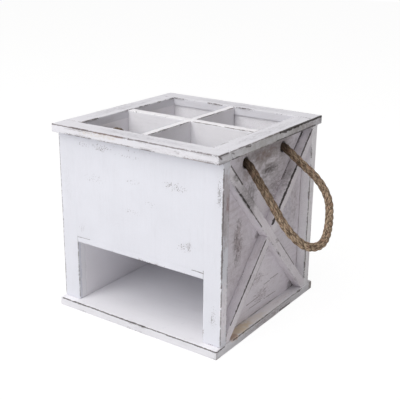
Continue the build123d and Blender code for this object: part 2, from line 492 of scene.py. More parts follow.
def painted_marks(tree, colour, place, marks):
    """The marks of a list over a colour, lines last, and where they cut into the paint."""
    cut = 0.0
    loose = wavering(tree, place, *patch_waver)
    wander = wavering(tree, place, *line_waver)
    lines_last = sorted(marks, key=lambda mark: mark[0] == "line")
    for kind, first, second, size, cover, tint, strength in lines_last:
        if kind == "line":
            group = worn_line
            inputs = {"Place": wander, "From": first, "To": second, "Width": size, "Cover": cover}
        else:
            group = rubbed_patch
            inputs = {"Place": place, "Centre": first, "Reach": second, "Edge": size, "Cover": cover}
            inputs["Pattern"] = vcalc(tree, "DIVIDE", loose, mark_spacing[kind])
        mask = add(tree, "ShaderNodeGroup", inputs, node_tree=group).outputs["Mask"]
        mask = times(tree, mask, strength)
        colour = blend_colour(tree, mask, colour, tint)
        if kind in ("line", "dots"):
            cut = plus(tree, cut, mask)
    return colour, cut


def whitewash(name, paint, thin, streaks, smears, specks, wear, marks, outside=None, mirror=False):
    """Worn whitewash: brushed paint over wood, wiped thin in places and rubbed through along the edges."""
    material, tree, shader = new_material(name)
    grain = attribute(tree, "grain", "Vector")
    edge = attribute(tree, "edge_mm", "Fac")
    place = object_mm(tree)
    strokes = wavering(tree, grain, *stroke_waver)
    broad = grains(tree, place, broad_size)
    brush = grains(tree, strokes, brush_size, 5.0, 0.65)
    fibre = grains(tree, grain, fibre_size, 3.0, 0.6)
    fine = grains(tree, place, fine_size, 2.0)
    bare_side = 1.0
    if outside:
        axis, low, high = outside
        outward = vcalc(tree, "DOT_PRODUCT", vcalc(tree, "ABSOLUTE", place), axis)
        bare_side = ramp(tree, outward, low, high)

    # Paint, thicker and thinner
    tone = plus(tree, 0.95, broad, 0.10)
    blotch = grains(tree, place, blotch_size, 5.0, 0.75)
    for mark, amount in ((fibre, 0.05), (blotch, 0.03 + 0.4 * smears), (fine, 0.06 + 0.6 * smears)):
        tone = plus(tree, tone, centred(tree, mark), amount)
    colour = scaled(tree, paint, tone)
    patchy = ramp(tree, grains(tree, place, thin_size, 4.0, 0.6), 0.38, 0.66)
    thinned = times(tree, ramp(tree, brush, 0.42, 0.74), patchy, bare_side, streaks)
    colour = blend_colour(tree, thinned, colour, thin)

    # Smears and specks where the brush skipped
    wiped = ramp(tree, grains(tree, strokes, wipe_size, 6.0, 0.78), 0.48, 0.72)
    wiped_patch = ramp(tree, grains(tree, place, wipe_patch_size), 0.42, 0.64)
    grit = plus(tree, 0.3, ramp(tree, grains(tree, place, grit_size, 4.0, 0.75), 0.42, 0.62), 0.7)
    smeared = times(tree, wiped, wiped_patch, grit, bare_side, smears)
    colour = blend_colour(tree, smeared, colour, mauve)
    clusters = ramp(tree, grains(tree, place, cluster_size, 2.0), 0.58, 0.72)
    dots = times(tree, ramp(tree, fine, 0.62, 0.70), clusters, specks)
    colour = blend_colour(tree, dots, colour, grey)

    # Wear, and the marks of this paint's own list
    colour, worn = worn_edges(tree, colour, place, edge, fine, broad, wear)
    colour, cut = painted_marks(tree, colour, mirrored(tree, place) if mirror else place, marks)

    # Surface: brush strokes stand up, and worn places lie lower
    sunk = clamped(tree, plus(tree, plus(tree, worn, dots), cut))
    height = plus(tree, plus(tree, times(tree, fibre, 0.25), brush, 0.35), sunk, -0.5)
    bump = add(tree, "ShaderNodeBump", {"Strength": 0.5, "Distance": paint_depth * MM, "Height": height})
    fill(tree, shader, {
        "Base Color": colour,
        "Roughness": plus(tree, plus(tree, 0.62, fibre, 0.2), worn, 0.12),
        "Specular IOR Level": 0.25,
        "Normal": bump.outputs[0],
    })
    return material


# Faces that carry marks, and how far in from a face, or out from it, some of the marks lie
front_y = box_mm("front_panel")[0].y
bay_x, stile_x = (corner.x for corner in box_mm("front_stile_right"))
panel_low, panel_high = box_mm("right_panel")
brace_x = box_mm("right_brace_long")[1].x
back_x = box_mm("back_panel")[1].x
rim_low, rim_high = box_mm("rim_front")
base_low, base_high = box_mm("base_board")
divider_z = box_mm("long_divider")[1].z
edge_in = 0.2
near_edge_in = 0.1
brace_foot = 0.6
ledge_lift = 0.9

# How far patches reach into the faces that they lie on
deep = 6.0
shallow = 4.0
bay_depth = 3.0
ledge_depth = 2.0
corner_depth = 7.0
brace_depth = 5.0
strip_depth = 9.0

# The size of a patch's marks along the three axes, by its kind
mark_spacing = {
    "dots": (1.3, 1.3, 1.3),
    # Broad patches: for stains, and also for painted shade and painted light
    "stain": (6.0, 6.0, 6.0),
    "mottle": (3.2, 3.2, 3.2),
    "stroke_x": (12.0, 2.4, 2.4),
    "stroke_y": (2.4, 12.0, 2.4),
    "smear_x": (6.0, 1.1, 1.1),
    "smear_y": (1.1, 6.0, 1.1),
    "smear_z": (1.1, 1.1, 6.0),
}


def raised(axis, flat, value):
    """A pair of numbers from a flat face, with a value for the face's own axis put in."""
    number = axis_number[axis]
    return (*flat[:number], value, *flat[number:])


def face_lines(axis, level, rows):
    """Worn lines in a flat face: from, to, width, cover, colour, strength."""
    return [("line", raised(axis, a, level), raised(axis, b, level), *rest) for a, b, *rest in rows]


def face_patches(axis, level, depth, rows):
    """Patches on a flat face and some way into it: kind, centre, reach, edge, cover, colour, strength."""
    return [(kind, raised(axis, a, level), raised(axis, b, depth), *rest) for kind, a, b, *rest in rows]


# Marks seen in the photograph, face by face. Later patches lie over earlier ones, and lines over patches.
front_marks = face_patches("Y", front_y, deep, [
    ("dots", (-44, 182), (26, 8), 0.08, 0.46, grey, 0.75),
    ("dots", (-68, 182), (16, 7), 0.08, 0.42, grey, 0.6),
    ("dots", (-10, 179), (40, 4), 0.08, 0.38, grey, 0.55),
    ("dots", (-2, 155), (22, 6), 0.08, 0.40, grey, 0.6),
    ("dots", (46, 159), (26, 10), 0.08, 0.44, grey, 0.75),
    ("dots", (-54, 149), (28, 9), 0.08, 0.38, grey, 0.55),
    ("dots", (17, 137), (16, 6), 0.08, 0.38, grey, 0.55),
    ("dots", (-6, 124), (22, 6), 0.08, 0.40, grey, 0.55),
    ("dots", (-10, 186), (90, 4), 0.08, 0.33, grey, 0.6),
    ("dots", (95, 164), (6, 30), 0.08, 0.46, grey, 0.75),
    ("smear_z", (95.5, 160), (5, 17), 0.25, 0.74, wear_and_shade, 0.6),
    ("dots", (91, 38), (8, 28), 0.08, 0.40, grey, 0.6),
    ("dots", (58, 102), (18, 10), 0.1, 0.47, grey, 0.65),
    ("smear_z", (62, 105), (7, 8), 0.4, 0.9, grey, 0.65),
    ("smear_z", (-72, 92), (8, 12), 0.25, 0.60, grey, 0.5),
    ("smear_z", (-89, 130), (11, 54), 0.5, 0.75, thin_grey, 0.45),
    ("smear_z", (90, 36), (9, 20), 0.5, 0.75, thin_grey, 0.5),
    ("smear_x", (-20, 112), (70, 20), 0.5, 0.55, brush_grey, 0.45),
])
front_marks += face_lines("Y", front_y, [
    ((89, 40), (89.5, 33), 0.3, 0.85, wear_and_shade, 0.8),
    ((-79, 81), (-62, 81.5), 0.4, 0.9, grey, 0.9),
    ((66, 81.5), (79, 81.5), 0.5, 0.95, wear_and_shade, 0.9),
    ((-79, 83), (-79, 74), 0.35, 0.9, grey, 0.9),
    ((79, 84), (79, 76), 0.35, 0.9, grey, 0.9),
    ((-99.2, 189), (-99.2, 12), 0.8, 0.8, wear_and_shade, 0.85),
])
front_marks += face_lines("Y", front_y + edge_in, [
    ((-79.2, 74), (-79.2, 12), 0.5, 0.8, grey, 0.9),
    ((79.2, 74), (79.2, 12), 0.4, 0.5, grey, 0.8),
    ((99.3, 186), (99.3, 150), 0.8, 0.85, wear_and_shade, 0.85),
    ((99.3, 150), (99.3, 82), 1.0, 0.9, wear_and_shade, 0.85),
    ((99.3, 82), (99.3, 12), 0.7, 0.75, grey, 0.85),
])
front_marks += face_patches("X", stile_x, shallow, [
    ("stain", (-85, 146), (14, 70), 0.5, 1.3, stile_grey, 0.75),
    ("smear_z", (-88, 120), (7, 70), 0.3, 0.7, grey, 0.6),
    # Painted light: this whitens the lower part of the stile's side beyond what its paint gives in shade
    ("mottle", (-85, 46), (14, 60), 0.5, 1.25, thick_white_and_light, 0.9),
    ("smear_z", (-83, 152), (5, 20), 0.4, 1.0, red_brown, 0.75),
    ("smear_z", (-85, 50), (9, 50), 0.3, 0.6, grey, 0.3),
])
front_marks += face_lines("X", stile_x, [
    ((-80.2, 165), (-80.2, 135), 0.8, 0.85, mauve, 0.85),
    ((-80.2, 135), (-80.2, 60), 0.45, 0.55, wear_and_shade, 0.8),
    ((-80, 60), (-80, 18), 0.7, 0.9, wear_and_shade, 0.85),
])
# Painted light: the bay's side walls are whitened with the inner paint, for light thrown back inside the
# bay
bay_painted_light = [("stain", (-80, 40), (10, far), 0.2, 1.6, inner_paint, 0.8)]
for x in (-bay_x, bay_x):
    front_marks += face_patches("X", x, bay_depth, bay_painted_light)

rim_marks = face_lines("Y", rim_low.y + near_edge_in, [
    ((-99, 199.6), (60, 199.6), 0.8, 0.95, wear_and_shade, 0.8),
    ((60, 199.6), (92, 199.6), 0.6, 0.8, grey, 0.8),
])
rim_marks += face_patches("Y", rim_low.y, shallow, [
    ("smear_x", (55, 196), (7, 4), 0.4, 0.95, grey, 0.6),
    ("mottle", (-40, 197), (60, 5), 0.5, 0.9, bare_beige, 0.65),
    ("smear_x", (45, 195.5), (60, 5), 0.5, 0.75, pink, 0.4),
])
rim_marks += face_lines("Y", rim_low.y, [
    ((-44, 199.2), (-8, 199.2), 0.8, 0.8, bare_brown, 0.5),
    ((-88, 197.6), (-40, 197.6), 0.35, 0.7, grey, 0.6),
    ((-92, 192.3), (92, 192.3), 0.5, 0.5, grey, 0.75),
])
rim_marks += face_lines("X", rim_high.x - edge_in, [
    ((-99, 199.8), (-84, 199.8), 0.6, 0.95, wear_and_shade, 0.9),
    ((-84, 199.8), (-34, 199.8), 0.5, 0.75, wear_and_shade, 0.85),
    ((-34, 199.8), (14, 199.8), 0.6, 0.85, wear_and_shade, 0.9),
    ((8, 199.6), (98, 199.6), 1.3, 1.0, dark, 0.92),
])
rim_marks += face_patches("X", rim_high.x, shallow, [
    ("smear_y", (60, 196), (54, 6), 0.4, 0.85, mauve, 0.45),
    ("smear_y", (-30, 196), (64, 6), 0.4, 0.65, pink, 0.5),
    ("stain", (96, 196), (9, 8), 0.5, 1.2, wear_and_shade, 0.5),
    ("stain", (0, 196), (140, 14), 0.6, 1.35, rim_grey, 0.6),
    ("stain", (62, 196), (70, 12), 0.6, 1.25, warm_grey, 0.55),
])
rim_marks += face_lines("X", rim_high.x, [
    ((-98, 198.5), (-95, 196.5), 1.0, 1.0, wear_and_shade, 0.8),
    ((-78, 198), (-75, 197), 0.8, 1.0, wear_and_shade, 0.7),
    ((-55, 198.6), (-47, 198.2), 0.9, 0.9, wear_and_shade, 0.85),
    ((12, 199), (21, 197.6), 0.9, 0.9, dark, 0.85),
    ((22, 199), (31, 198.2), 1.1, 0.9, dark, 0.9),
    ((35, 199), (46, 198.4), 1.0, 0.9, dark, 0.85),
    ((-80, 199), (-78, 194), 0.4, 1.0, wear_and_shade, 0.8),
    ((-99, 192.2), (-66, 192.2), 0.4, 0.5, grey, 0.8),
    ((-78, 192.2), (-66, 192.2), 0.9, 1.0, dark, 0.85),
    ((-66, 192.2), (2, 192.2), 0.5, 0.8, seam_brown, 0.85),
    ((2, 192.2), (84, 192.2), 1.0, 0.95, dark, 0.8),
])
rim_marks += face_lines("Z", rim_high.z - edge_in, [
    ((-79, -78), (79, -78), 0.35, 0.5, grey, 0.7),
])
rim_marks += face_lines("Z", rim_high.z, [
    ((-100, -78), (-79, -78), 0.35, 0.7, grey, 0.7),
    ((79, -78), (100, -78), 0.35, 0.8, grey, 0.8),
])
for sign in (-1, 1):
    for run, centre, reach in (("x", (0, 88 * sign), (130, 14)), ("y", (90 * sign, 0), (14, 130))):
        rim_marks += face_patches("Z", rim_high.z, shallow, [
            ("stroke_" + run, centre, reach, 0.3, 0.78, top_grey, 0.30),
            ("smear_" + run, centre, reach, 0.3, 0.58, top_grey, 0.8),
        ])

base_marks = face_lines("Y", base_low.y + edge_in, [
    ((-97, 8.6), (20, 8.6), 0.8, 0.95, dark, 0.85),
    ((20, 8.6), (100, 8.6), 0.7, 0.95, dark, 0.85),
])
base_marks += face_lines("X", base_high.x - near_edge_in, [
    ((-69, 8.4), (-38, 8.4), 0.6, 0.92, dark, 0.9),
    ((-38, 8.3), (2, 8.3), 0.7, 0.95, dark, 0.9),
    ((2, 8.4), (74, 8.4), 0.6, 0.85, grey, 0.9),
    ((64, 8.2), (70, 8), 1.0, 1.0, wear_and_shade, 0.85),
    ((-98, 8.6), (-84, 8.6), 0.6, 0.9, dark, 0.85),
])
base_marks += face_lines("X", base_high.x - edge_in, [
    ((-97.8, 9), (-97.8, 0), 0.5, 0.9, grey, 0.8),
])
base_marks += face_patches("X", base_high.x, shallow, [
    ("stain", (10, 4.5), (120, 12), 0.6, 1.3, pink, 0.25),
    ("smear_y", (0, 4.5), (110, 6), 0.3, 0.75, mauve, 0.5),
])
base_marks += face_lines("X", base_high.x, [
    ((24, 2.2), (46, 1.6), 1.2, 0.95, wear_and_shade, 0.85),
])
# Painted light: the whole top of the base is whitened with the inner paint
base_marks += face_patches("Z", base_high.z + ledge_lift, ledge_depth, [
    ("stain", (0, 0), (far, far), 0.2, 1.6, inner_paint, 0.7),
])
base_marks += face_patches("Z", base_high.z, deep, [
    # Painted light: the ledge in the side's recess, under the rim, is whitened
    ("stain", (95, 0), (11, 95), 0.5, 1.3, ledge_painted_light, 0.75),
    ("stain", (95, -26), (11, 50), 0.5, 1.3, ledge_beige, 0.7),
    ("stain", (94, -48), (14, 38), 0.5, 1.4, ledge_tan, 0.85),
    ("stain", (97, -65), (10, 15), 0.5, 1.4, ledge_brown, 0.8),
    ("smear_y", (95, 40), (9, 50), 0.4, 0.7, pink, 0.5),
])
base_marks += face_patches("X", base_high.x, corner_depth, [
    ("mottle", (95, 5), (9, 9), 0.5, 1.2, corner_brown, 0.75),
])

# Partly painted light: the side boards' inner faces take the whiter inner paint
panel_marks = face_patches("X", panel_low.x, shallow, [
    ("stain", (0, 100), (far, far), 0.2, 1.6, inner_paint, 0.75),
])
panel_marks += face_patches("X", panel_high.x, deep, [
    # Painted shade: these four patches darken the top of the side in a broad band under the rim's overhang
    ("stain", (4, 188), (100, 58), 0.6, 1.3, warm_grey, 0.78),
    ("stroke_y", (0, 190), (95, 34), 0.6, 1.35, wear_and_shade, 0.55),
    ("stroke_y", (2, 178), (38, 11), 0.4, 1.0, warm_brown, 0.6),
    ("stain", (14, 154), (46, 40), 0.6, 1.2, wear_and_shade, 0.24),
    ("stroke_y", (12, 150), (46, 38), 0.4, 0.85, wear_and_shade, 0.5),
    ("stroke_y", (8, 160.5), (34, 6), 0.35, 0.9, wear_and_shade, 0.75),
    ("smear_y", (8, 160.5), (30, 5), 0.25, 0.8, dark, 0.5),
    ("stroke_y", (14, 169), (24, 6), 0.3, 0.95, thick_white_and_light, 0.5),
    ("smear_y", (13, 161), (30, 12), 0.25, 0.72, wear_and_shade, 0.6),
    ("smear_y", (22, 136), (30, 28), 0.3, 0.74, mauve, 0.6),
    ("mottle", (-34, 164), (12, 14), 0.5, 1.15, warm_brown, 0.6),
    ("mottle", (-24, 146), (22, 28), 0.4, 0.95, wear_and_shade, 0.6),
    ("smear_z", (54, 150), (9, 12), 0.4, 0.85, wear_and_shade, 0.5),
    ("stain", (62, 104), (36, 72), 0.6, 1.25, warm_grey, 0.20),
    ("mottle", (50, 102), (24, 46), 0.4, 0.95, blue_grey, 0.4),
    ("smear_z", (66, 112), (20, 70), 0.35, 0.72, mauve, 0.55),
    ("stain", (-44, 96), (50, 100), 0.6, 1.25, mauve, 0.20),
    ("stain", (-46, 104), (14, 26), 0.6, 1.1, red_brown, 0.26),
    ("mottle", (-48, 98), (20, 52), 0.35, 0.75, mauve, 0.40),
    ("smear_z", (-45, 119), (11, 13), 0.15, 0.64, wear_and_shade, 0.7),
    ("smear_z", (-50, 109), (9, 13), 0.15, 0.62, wear_and_shade, 0.65),
    ("smear_z", (-47, 97), (16, 14), 0.15, 0.62, wear_and_shade, 0.7),
    ("dots", (-46, 100), (18, 36), 0.12, 0.5, wear_and_shade, 0.7),
    ("smear_z", (-48, 84), (9, 17), 0.15, 0.64, wear_and_shade, 0.65),
    ("smear_z", (-42, 90), (12, 26), 0.3, 0.70, mauve, 0.6),
    ("smear_z", (-56, 60), (14, 40), 0.4, 0.70, mauve, 0.45),
    # Painted shade in the corner where the braces meet
    ("stain", (-8, 97), (13, 13), 0.6, 1.25, wear_and_shade, 0.7),
    ("mottle", (6, 46), (46, 44), 0.5, 1.0, thick_white_and_light, 0.45),
    ("smear_y", (-8, 48), (30, 16), 0.25, 0.66, mauve, 0.6),
    ("smear_y", (2, 26), (36, 16), 0.3, 0.74, mauve, 0.6),
    # Painted shade in the recess's bottom corner at the back
    ("stain", (74, 14), (26, 18), 0.7, 1.35, corner_shade, 0.85),
])
panel_marks += face_lines("X", panel_high.x, [
    ((56.4, 165.4), (75.4, 185.8), 1.0, 1.0, dark, 0.9),
    ((36, 143.5), (54, 162.8), 0.8, 0.9, wear_and_shade, 0.85),
    ((24, 133), (46, 154), 0.6, 0.7, mauve, 0.7),
    ((79.4, 150), (79.4, 26), 0.8, 0.85, mauve, 0.75),
    ((-10, 49.5), (16, 44.6), 0.45, 0.6, mauve, 0.5),
    ((8, 35.6), (20, 35.6), 0.6, 0.9, wear_and_shade, 0.6),
    ((21, 37), (38, 37), 0.6, 0.85, wear_and_shade, 0.6),
    ((-26, 25), (0, 26), 0.6, 0.75, mauve, 0.6),
    ((-24, 19.5), (34, 18), 0.6, 0.75, mauve, 0.65),
    ((-68, 9.9), (40, 9.9), 0.4, 0.7, seam_brown, 0.65),
])

brace_marks = face_patches("X", brace_x, brace_depth, [
    ("smear_y", (15, 86), (9, 9), 0.3, 0.9, wear_and_shade, 0.55),
    ("smear_y", (-46, 150), (30, 34), 0.25, 0.70, wear_and_shade, 0.6),
    ("stain", (-50, 154), (56, 62), 0.6, 1.25, grey, 0.58),
    ("mottle", (-67, 174), (13, 13), 0.4, 1.05, wear_and_shade, 0.6),
    ("mottle", (-42, 144), (26, 28), 0.4, 0.9, grey, 0.55),
    ("mottle", (38, 54), (34, 36), 0.5, 0.8, grey, 0.4),
    ("mottle", (-40, 60), (36, 40), 0.5, 0.8, mauve, 0.35),
])
brace_marks += face_lines("X", brace_x, [
    ((-70, 164.9), (-61, 155.2), 0.5, 0.9, dark, 0.85),
    ((-61, 155.2), (-44, 136.9), 1.3, 1.0, dark, 0.92),
    ((-44, 136.9), (-19, 110.1), 0.7, 0.92, dark, 0.88),
    ((-6, 95.3), (70, 13.7), 0.4, 0.3, grey, 0.5),
    ((-78, 186.4), (-58, 164.9), 1.3, 1.0, dark, 0.85),
    ((-58, 164.9), (-10, 113.3), 0.45, 0.45, grey, 0.7),
    ((20, 81.3), (54, 44.8), 0.8, 0.92, wear_and_shade, 0.92),
    ((79, 188.4), (46, 153), 1.2, 1.0, dark, 0.88),
    ((46, 153), (3, 106.8), 1.7, 1.0, dark, 0.95),
    ((78, 172.8), (30, 121.1), 0.5, 0.7, grey, 0.85),
    ((-9, 93.8), (-36, 64.8), 0.7, 0.95, dark, 0.88),
    ((-36, 64.8), (-62, 36.9), 0.9, 1.0, dark, 0.9),
    ((-62, 36.9), (-72, 26.2), 0.7, 0.9, dark, 0.88),
    ((-4, 85.4), (-40, 46.8), 0.7, 0.8, grey, 0.8),
])
brace_marks += face_lines("X", panel_high.x + brace_foot, [
    ((56.4, 165.4), (75.4, 185.8), 0.9, 1.0, dark, 0.9),
])
brace_marks += face_patches("X", (panel_high.x + brace_x) / 2, strip_depth, [
    ("mottle", (36, 143), (32, 34), 0.45, 0.95, wear_and_shade, 0.5),
    # Painted light: this whitens the top end of the brace strip, which the rim shades
    ("stain", (68, 177), (16, 17), 0.6, 1.35, thick_white_and_light, 0.85),
])

back_marks = face_patches("X", back_x, shallow, [
    ("smear_z", (85, 110), (9, 80), 0.4, 0.7, pink, 0.5),
])
back_marks += face_lines("X", back_x, [
    ((80.2, 150), (80.2, 28), 0.7, 0.85, wear_and_shade, 0.9),
])

divider_marks = face_lines("Z", divider_z - edge_in, [
    ((3.75, -77), (3.75, -6), 0.6, 0.85, wear_and_shade, 0.85),
    ((3.75, 6), (3.75, 77), 0.6, 0.85, wear_and_shade, 0.85),
    ((6, -5), (78, -5), 0.6, 0.9, wear_and_shade, 0.85),
])

# Streaks and smears lie on the outside only: the axis, and where they begin and are full
side_out = ((1, 0, 0), 80.0, 84.0)
back_out = ((0, 1, 0), 80.5, 84.0)

# Each paint: its colour, its thin colour, its shares of streaks, smears, specks and wear, its marks,
# and for some where their outside begins, and whether the left side is marked as the right side is
paint_looks = {
    "front": (white_paint, grey, 0.05, 0.0, 0.15, 0.3, front_marks),
    "rim": (rim_white, grey, 0.15, 0.10, 0.3, 0.55, rim_marks),
    "base": (base_white, grey, 0.15, 0.12, 0.3, 0.32, base_marks),
    "side": (side_paint, pink, 0.42, 0.45, 0.4, 0.3, panel_marks, side_out, True),
    "brace": (brace_paint, pink, 0.35, 0.35, 0.5, 0.3, brace_marks, None, True),
    "back": (inner_paint, pink, 0.5, 0.4, 0.4, 0.5, back_marks, back_out),
    "inner": (inner_paint, grey, 0.10, 0.06, 0.2, 0.3, divider_marks),
}
paints = {name: whitewash(name + "_paint", *look) for name, look in paint_looks.items()}


# Mesh tools
def new_piece(name, mesh_builder, material, body=None):
    """An object from a bmesh, with its material, riding on a body."""
    mesh = bpy.data.meshes.new(name)
    mesh_builder.to_mesh(mesh)
    mesh_builder.free()
    mesh.materials.append(material)
    piece = new_object(name, mesh)
    if body:
        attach(piece, body)
    return piece


def tight_here(place, tight):
    """True inside one of the boxes where a board's edge stays sharp."""
    return any(all(a <= p <= b for a, p, b in zip(low, place, high)) for low, high in tight)


def left_turn(a, b):
    """The angle by which a way turns left into another."""
    return math.atan2(a.x * b.y - a.y * b.x, a.dot(b))


class Outline:
    """A polygon, counter-clockwise, whose points can be asked for at any inset."""

    def __init__(self, corners, corner_round):
        self.corners = [Vector(c) for c in corners]
        self.round = corner_round
        self.edges = []
        count = len(self.corners)
        for i in range(count):
            before, here, ahead, beyond = (self.corners[(i + k) % count] for k in (-1, 0, 1, 2))
            run = (ahead - here).normalized()
            inward = Vector((-run.y, run.x))
            turn_in = left_turn((here - before).normalized(), run)
            turn_out = left_turn(run, (beyond - ahead).normalized())
            self.edges.append((here, run, inward, (ahead - here).length, (turn_in, turn_out)))

    def stations(self, step):
        """Places along every edge, closer near the corners: (edge number, along it, from a corner)."""
        found = []
        for number, (_, _, _, length, _) in enumerate(self.edges):
            reach = min(corner_steps[-1], length / 3)
            near = [c / corner_steps[-1] * reach for c in corner_steps]
            count = max(1, round((length - 2 * reach) / step))
            middle = [reach + (length - 2 * reach) * i / count for i in range(1, count)]
            line = near + middle + [length - n for n in reversed(near)]
            found += [(number, u, min(u, length - u)) for u in line[:-1]]
        return found

    def point(self, number, along, inset):
        """The place of a station with the outline drawn in by an inset."""
        start, run, inward, length, (turn_in, turn_out) = self.edges[number]
        low = inset * math.tan(turn_in / 2) if turn_in > 0 else 0.0
        high = length - (inset * math.tan(turn_out / 2) if turn_out > 0 else 0.0)
        for at_start, turn in ((True, turn_in), (False, turn_out)):
            trim = self.round * math.tan(turn / 2)
            from_corner = along if at_start else length - along
            if turn > least_turn_radians and inset < self.round and from_corner < trim:
                foot = start + run * (trim if at_start else length - trim)
                centre = foot + inward * self.round
                swing = (1 - from_corner / trim) * turn / 2
                spoke = Matrix.Rotation(-swing if at_start else swing, 2) @ -inward
                return centre + spoke * (self.round - inset)
        along = min(max(along, low), high)
        return start + run * along + inward * inset

    def least_width(self):
        """The outline's narrowest width, across its edges."""
        widths = []
        for start, _, inward, _, _ in self.edges:
            widths.append(max((c - start).dot(inward) for c in self.corners))
        return min(widths)


axis_frames = {
    "X": (Vector((0, 1, 0)), Vector((0, 0, 1)), Vector((1, 0, 0))),
    "Y": (Vector((0, 0, 1)), Vector((1, 0, 0)), Vector((0, 1, 0))),
    "Z": (Vector((1, 0, 0)), Vector((0, 1, 0)), Vector((0, 0, 1))),
}


def edge_profile(r, inner, half, corner):
    """Steps from a board's face round its edge to its side: (inset, depth, distance from the edge)."""
    steps = [(inset, 0.0, inset) for inset in (inner, inner * cap_middle_share)]
    steps += [(r * (1 - math.sin(a)), r * (1 - math.cos(a)), 0.0) for a in bend_angles]
    steps.append((0.0, min(r + side_step, half * side_share), min(side_step, corner)))
    return steps


def bore_profile(half):
    """Steps through a rope hole with eased mouths: (radius, depth)."""
    outer = hole_radius + hole_ease
    mouth = [(outer + hole_margin, 0.0), (outer + hole_lip, 0.0)]
    for a in bend_angles:
        mouth.append((hole_radius + hole_ease * (1 - math.sin(a)), hole_ease * (1 - math.cos(a))))
    return mouth + [(hole_radius, half)] + [(r, 2 * half - d) for r, d in reversed(mouth)]


def slab(outline, axis, low, high, soft, grain, seed, tight=(), holes=()):
    """A board: an outline carried from low to high along an axis, with worn edges and round holes."""
    across, upward, through = axis_frames[axis]
    build = bmesh.new()
    edge_layer = build.verts.layers.float.new("edge_mm")
    grain_layer = build.verts.layers.float_vector.new("grain")
    shift = seed_step * seed
    along_grain = Vector(grain).normalized()
    helper = Vector((1, 0, 0)) if abs(along_grain.x) < grain_along_x else Vector((0, 1, 0))
    side_one = along_grain.cross(helper).normalized()
    grain_ways = (along_grain, side_one, along_grain.cross(side_one))
    half = (high - low) / 2
    inner = min(cap_inset, outline.least_width() * cap_share)
    made = {}

    def softness(place):
        """How far the edge is rounded here."""
        if tight_here(place, tight):
            return tight_soft
        wave = noise.noise(place / wave_size + shift)
        chip = max(0.0, noise.noise(place / chip_size + shift * 2) - chip_limit)
        return soft * (1.0 + wave_share * wave + chip_share * chip)

    def spot(flat, depth, distance):
        """The vertex at this place, made once."""
        place = across * flat.x + upward * flat.y + through * depth
        key = tuple(round(c, 2) for c in place)
        if key not in made:
            vert = build.verts.new(place * MM)
            vert[edge_layer] = distance
            vert[grain_layer] = shift + Vector([place.dot(way) for way in grain_ways])
            made[key] = vert
        return made[key]

    def skin(lines):
        """Smooth faces between neighbouring lines of vertices, the last joined to the first."""
        for here, ahead in zip(lines, lines[1:] + lines[:1]):
            for k in range(len(here) - 1):
                quad = list(dict.fromkeys((here[k], ahead[k], ahead[k + 1], here[k + 1])))
                if len(quad) > 2 and not build.faces.get(quad):
                    build.faces.new(quad).smooth = True

    def open_rim(level):
        """The edges round an unfilled face."""
        rim = [edge for edge in build.edges if edge.is_boundary]
        return [edge for edge in rim if abs(edge.verts[0].co.dot(through) / MM - level) < level_slack]

    lines = []
    for number, along, corner in outline.stations(grid_step):
        edge_flat = outline.point(number, along, 0)
        line = []
        for end, inward in ((low, 1), (high, -1)):
            brink = across * edge_flat.x + upward * edge_flat.y + through * end
            r = min(softness(brink), half * soft_depth_share, inner * soft_inset_share)
            kept = unworn if tight_here(brink, tight) else 0.0
            steps = edge_profile(r, inner, half, corner)
            if end == high:
                steps.reverse()
                line.append(spot(edge_flat, low + half, min(half, corner)))
            for inset, depth, distance in steps:
                flat = outline.point(number, along, inset)
                line.append(spot(flat, end + inward * depth, distance + kept))
        lines.append(line)
    skin(lines)

    for centre in holes:
        spokes = []
        for i in range(hole_sides):
            turn = -math.tau * i / hole_sides
            out = Vector((math.cos(turn), math.sin(turn)))
            steps = bore_profile(half)
            spokes.append([spot(Vector(centre) + out * r, low + d, unworn) for r, d in steps])
        skin(spokes)

    for level, k in ((low, 0), (high, -1)):
        if holes:
            bmesh.ops.triangle_fill(build, use_beauty=True, edges=open_rim(level))
        else:
            build.faces.new(list(dict.fromkeys(line[k] for line in lines)))
    bmesh.ops.recalc_face_normals(build, faces=build.faces)
    return build


def rectangle(low, high):
    """Corners of a rectangle, counter-clockwise."""
    return [(low[0], low[1]), (high[0], low[1]), (high[0], high[1]), (low[0], high[1])]


plane_axes = {"X": (1, 2), "Y": (2, 0), "Z": (0, 1)}


def board(node, axis, paint, edges, grain, seed, tight=(), holes=(), corners=None):
    """A mesh board that stands for a node, in the node's own space."""
    low, high = box_mm(node)
    first, second = plane_axes[axis]
    third = axis_number[axis]
    soft, corner_round = board_edges[edges]
    if corners is None:
        corners = rectangle((low[first], low[second]), (high[first], high[second]))
    outline = Outline(corners, corner_round)
    build = slab(outline, axis, low[third], high[third], soft, grain, seed, tight, holes)
    piece = new_piece(node + "_board", build, paints[paint], "box")
    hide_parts(node)
    return piece


def turn_side(a, b, c):
    """Positive when the way from a by b to c turns left."""
    return (b[0] - a[0]) * (c[1] - a[1]) - (b[1] - a[1]) * (c[0] - a[0])


def hull_corners(node):
    """The outline of a brace in the side's plane, from its flat back."""
    low, high = box_mm(node)
    back = low.x if low.x > 0 else high.x
    places = [vert.co / MM for vert in nodes[node].data.vertices]
    flat = sorted({(round(p.y, 1), round(p.z, 1)) for p in places if abs(p.x - back) < back_slack})
    halves = []
    for order in (flat, flat[::-1]):
        chain = []
        for spot in order:
            while len(chain) > 1 and turn_side(chain[-2], chain[-1], spot) <= hull_slack:
                chain.pop()
            chain.append(spot)
        halves += chain[:-1]
    return [Vector(spot) for spot in halves]


# Boards
up = (0, 0, 1)
along_x = (1, 0, 0)
along_y = (0, 1, 0)
seam_x = bay_x + seam_margin


def above(level):
    """The space over a level."""
    return [((-far, -far, level), (far, far, far))]


